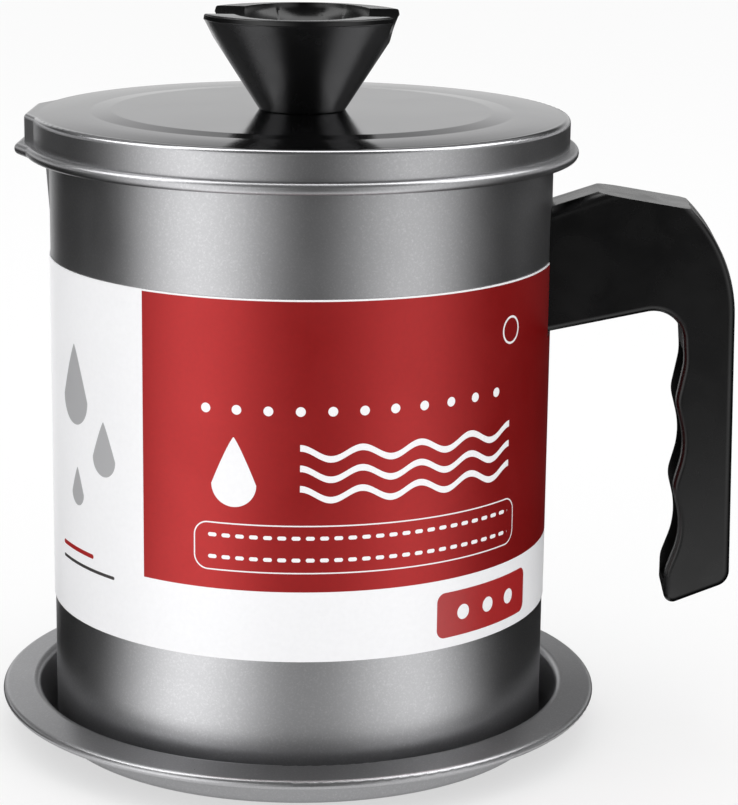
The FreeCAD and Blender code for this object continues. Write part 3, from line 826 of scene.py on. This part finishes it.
def glowing_card(name, corners, glow):
    """A bright card in the air, seen by gloss only."""
    material, bench, surface = new_material(name)
    surface.inputs["Base Color"].default_value = (0.0, 0.0, 0.0, 1.0)
    surface.inputs["Emission Color"].default_value = (1.0, 1.0, 1.0, 1.0)
    surface.inputs["Emission Strength"].default_value = glow
    gloss_only(flat_card(name, corners, material))


def high_card(name, first, last, distance, low, high, glow):
    """An upright glowing card between two angles and two heights."""
    corners = [round_place(first, distance, low), round_place(last, distance, low),
               round_place(last, distance, high), round_place(first, distance, high)]
    glowing_card(name, corners, glow)


def hump(bench, angle, centre, reach, height):
    """Smooth hump of light round an angle in degrees; angles wrap at half a turn."""
    off = bench.maths("ABSOLUTE", bench.maths("WRAP", bench.maths("SUBTRACT", angle, centre), 180.0, -180.0))
    near = bench.add("ShaderNodeMapRange", {"Value": off, "From Min": float(reach), "From Max": 0.0,
                                            "To Min": 0.0, "To Max": height},
                     clamp=True, interpolation_type="SMOOTHSTEP")
    return near.outputs[0]


def angle_round(bench, place):
    """Angle of a place round the pot in degrees, from the front towards the handle."""
    apart = bench.add("ShaderNodeSeparateXYZ", {"Vector": place})
    backwards = bench.maths("MULTIPLY", apart.outputs["Y"], -1.0)
    turn = bench.maths("ARCTAN2", apart.outputs["X"], backwards)
    return bench.maths("MULTIPLY", turn, 180 / math.pi)


def tent_light(bench, settings, angle):
    """Light of the studio's tent as gloss shows it, by the angle round the pot."""
    left = hump(bench, angle, centre=-43, reach=46, height=settings.left_glow)
    right = hump(bench, angle, centre=53, reach=42, height=settings.right_glow)
    behind = hump(bench, angle, centre=-160, reach=22, height=1.5)
    front = hump(bench, angle, centre=0, reach=120, height=0.06)
    return bench.chain("ADD", left, right, behind, front)


def round_place(angle, distance, height):
    """Point at an angle from the front towards the handle, a distance from the axis and a height."""
    turn = math.radians(angle)
    return Vector((math.sin(turn) * distance, -math.cos(turn) * distance, height))


def softbox(name, spot, aim, width, height, power):
    """A lamp that lights the object and doesn't show in gloss."""
    lamp = bpy.data.lights.new(name, "AREA")
    lamp.shape = "RECTANGLE"
    lamp.size = width
    lamp.size_y = height
    lamp.energy = power
    holder = bpy.data.objects.new(name, lamp)
    holder.visible_glossy = False
    holder.location = spot
    holder.rotation_mode = "QUATERNION"
    holder.rotation_quaternion = (Vector(aim) - Vector(spot)).to_track_quat("-Z", "Y")
    bpy.context.scene.collection.objects.link(holder)


def background_rays(bench):
    """1 for rays from the camera, from gloss and through glass, otherwise 0."""
    rays = bench.add("ShaderNodeLightPath").outputs
    seen = bench.maths("ADD", rays["Is Camera Ray"], rays["Is Glossy Ray"], clamp=True)
    return bench.maths("ADD", seen, rays["Is Transmission Ray"], clamp=True)


class OILPOT_OT_studio(Operator):
    """Sets up the camera, floor, softboxes and cards"""
    bl_idname = "oilpot.studio"
    bl_label = "Set up the studio"

    def execute(self, context):
        scene = context.scene
        settings = scene.oilpot_studio
        scene.view_settings.view_transform = "Standard"
        self.set_camera(scene)
        self.set_floor(settings)
        self.set_world(scene, settings)
        self.set_softboxes(settings)
        self.set_floor_tent(settings)
        self.set_cards(settings)
        return {"FINISHED"}

    def set_camera(self, scene):
        """The photograph's place and lens: 36 mm of sensor along the picture's long side."""
        place = (0.0369, -0.633453, 0.234144)
        yaw, pitch, roll = (math.radians(angle) for angle in (-1.8234, 13.638, 0.691))
        ahead = Vector((math.sin(yaw) * math.cos(pitch), math.cos(yaw) * math.cos(pitch), -math.sin(pitch)))
        right = Vector((math.cos(yaw), -math.sin(yaw), 0.0))
        over = right.cross(ahead)
        side = math.cos(roll) * right + math.sin(roll) * over
        over = math.cos(roll) * over - math.sin(roll) * right
        lens = bpy.data.cameras.new("camera")
        lens.sensor_width = 36.0
        lens.lens = 119.62
        lens.clip_start = 0.01
        lens.clip_end = 100.0
        camera = bpy.data.objects.new("camera", lens)
        turn = Matrix((side, over, -ahead)).transposed().to_4x4()
        camera.matrix_world = Matrix.Translation(place) @ turn
        scene.collection.objects.link(camera)
        scene.camera = camera

    def set_softboxes(self, settings):
        middle = (0.0, 0.0, 0.08)
        distance = 0.95
        level = 0.34
        tall = 0.9
        softbox("softbox_left", round_place(-38, distance, level), middle, 0.34, tall, settings.left_lamp)
        softbox("softbox_right", round_place(44, distance, level), middle, 0.26, tall, settings.right_lamp)
        softbox("softbox_top", (0.0, 0.15, 1.25), middle, 1.1, 0.9, settings.top_lamp)

    def set_cards(self, settings):
        """Two upright cards and one overhead, for the tops of the lid and the tray."""
        distance = 0.36
        low = 0.3
        high = 1.2
        half_width = 0.5
        near = -0.1
        far = 0.4
        high_card("card_high_left", -98, -52, distance, low, high, settings.high_glow)
        high_card("card_high_right", 66, 114, distance, low, high, settings.high_glow)
        overhead = [(-half_width, near, high), (half_width, near, high), (half_width, far, high),
                    (-half_width, far, high)]
        glowing_card("card_overhead", overhead, settings.overhead_glow)

    def set_floor(self, settings):
        """A pale matt floor that shows white to the camera and keeps the object's shadow."""
        seen_share = 0.6
        seen_glow = 0.53
        reach = 14.0
        material, bench, surface = new_material("studio_floor")
        seen = background_rays(bench)
        tone = bench.blend(seen, colour(settings.floor), colour(settings.floor, share=seen_share))
        bench.feed(surface.inputs["Base Color"], tone)
        surface.inputs["Roughness"].default_value = 0.9
        surface.inputs["Specular IOR Level"].default_value = 0.0
        surface.inputs["Emission Color"].default_value = (1.0, 1.0, 1.0, 1.0)
        bench.feed(surface.inputs["Emission Strength"], bench.maths("MULTIPLY", seen, seen_glow))
        flat_card("floor", [(-reach, -reach, FLOOR_LEVEL), (reach, -reach, FLOOR_LEVEL),
                            (reach, reach, FLOOR_LEVEL), (-reach, reach, FLOOR_LEVEL)], material)

    def set_floor_tent(self, settings):
        """Ring on the floor that only gloss sees: the tent's light, with more of it near the tray."""
        widening = 0.018
        near_start = 0.12
        near_end = 0.4
        corners = 72
        inner = 0.085
        outer = 12.0
        lift = 0.001
        material, bench, surface = new_material("floor_tent")
        surface.inputs["Base Color"].default_value = (0.0, 0.0, 0.0, 1.0)
        surface.inputs["Specular IOR Level"].default_value = 0.0
        place = bench.place()
        out = bench.from_axis(place)
        spread = bench.maths("ADD", bench.maths("DIVIDE", widening, out), 1.0)
        angle = bench.maths("MULTIPLY", angle_round(bench, place), spread)
        angle = bench.maths("MAXIMUM", bench.maths("MINIMUM", angle, 180.0), -180.0)
        near = bench.maths("MULTIPLY", bench.span(out, near_start, near_end, 1.0, 0.0),
                           hump(bench, angle, centre=15, reach=80, height=settings.near_glow))
        light = bench.maths("ADD", tent_light(bench, settings, angle), near)
        bench.feed(surface.inputs["Emission Color"], bench.grey(light))
        surface.inputs["Emission Strength"].default_value = 1.0
        angles = [360.0 / corners * step for step in range(corners)]
        rim = [round_place(angle, inner, lift) for angle in angles]
        edge = [round_place(angle, outer, lift) for angle in angles]
        faces = []
        for step in range(corners):
            following = (step + 1) % corners
            faces.append((step, corners + step, corners + following, following))
        gloss_only(stage_mesh("floor_tent", rim + edge, faces, material))

    def set_world(self, scene, settings):
        """White for the camera, an even fill for diffuse light, the tent and a backdrop for gloss."""
        world = bpy.data.worlds.new("studio_world")
        world.use_nodes = True
        world.node_tree.nodes.clear()
        bench = Bench(world.node_tree)
        direction = bench.add("ShaderNodeTexCoord").outputs["Generated"]
        rise = bench.apart(direction)["Z"]
        angle = angle_round(bench, direction)
        backdrop = bench.maths("MINIMUM", hump(bench, angle, centre=180, reach=140, height=1.3), 1.0)
        lower = bench.maths("MULTIPLY", backdrop, bench.span(rise, 0.15, 0.34, 1.0, 0.0))
        upper = bench.maths("MULTIPLY", backdrop, bench.span(rise, 0.38, 0.6, 0.0, settings.upper_back))
        walls = tent_light(bench, settings, angle)
        walls = bench.maths("MULTIPLY", walls, bench.span(rise, 0.3, 0.6, 1.0, 0.0))
        ceiling = bench.span(rise, 0.1, 0.3, 0.0, settings.ceiling)
        gloss = bench.grey(bench.chain("MAXIMUM", walls, lower, upper, ceiling))
        rays = bench.add("ShaderNodeLightPath").outputs
        seen = bench.maths("ADD", rays["Is Camera Ray"], rays["Is Transmission Ray"], clamp=True)
        tone = bench.blend(rays["Is Glossy Ray"], colour((1.0, 1.0, 1.0), share=settings.fill), gloss)
        tone = bench.blend(seen, tone, (1.0, 1.0, 1.0, 1.0))
        light = bench.add("ShaderNodeBackground", {"Color": tone, "Strength": 1.0})
        output = bench.add("ShaderNodeOutputWorld")
        bench.tree.links.new(light.outputs[0], output.inputs[0])
        scene.world = world


class OILPOT_PT_finishes(Panel):
    """Lists the steps and their settings"""
    bl_idname = "OILPOT_PT_finishes"
    bl_label = "Oil pot finishes"
    bl_space_type = "VIEW_3D"
    bl_region_type = "UI"
    bl_category = "Oil pot"

    def draw(self, context):
        for step, settings_name in STEPS:
            section = self.layout.box()
            section.operator(step.bl_idname)
            if settings_name:
                settings = getattr(context.scene, settings_name)
                for name in settings.__annotations__:
                    section.prop(settings, name)


SETTINGS = {
    "oilpot_coat": CoatSettings,
    "oilpot_label": LabelSettings,
    "oilpot_bakelite": BakeliteSettings,
    "oilpot_steel": SteelSettings,
    "oilpot_weave": WeaveSettings,
    "oilpot_studio": StudioSettings,
}
STEPS = [
    (OILPOT_OT_coated_pieces, "oilpot_coat"),
    (OILPOT_OT_label, "oilpot_label"),
    (OILPOT_OT_handle, "oilpot_bakelite"),
    (OILPOT_OT_knob, None),
    (OILPOT_OT_strainer, "oilpot_weave"),
    (OILPOT_OT_fixings, "oilpot_steel"),
    (OILPOT_OT_studio, "oilpot_studio"),
]


def register():
    for name, settings in SETTINGS.items():
        bpy.utils.register_class(settings)
        setattr(bpy.types.Scene, name, PointerProperty(type=settings))
    for step, _ in STEPS:
        bpy.utils.register_class(step)
    bpy.utils.register_class(OILPOT_PT_finishes)


def unregister():
    bpy.utils.unregister_class(OILPOT_PT_finishes)
    for step, _ in reversed(STEPS):
        bpy.utils.unregister_class(step)
    for name, settings in reversed(SETTINGS.items()):
        delattr(bpy.types.Scene, name)
        bpy.utils.unregister_class(settings)


def main():
    register()
    bpy.ops.oilpot.coated_pieces()
    bpy.ops.oilpot.label()
    bpy.ops.oilpot.handle()
    bpy.ops.oilpot.knob()
    bpy.ops.oilpot.strainer()
    bpy.ops.oilpot.fixings()
    bpy.ops.oilpot.studio()


if __name__ == "__main__":
    main()
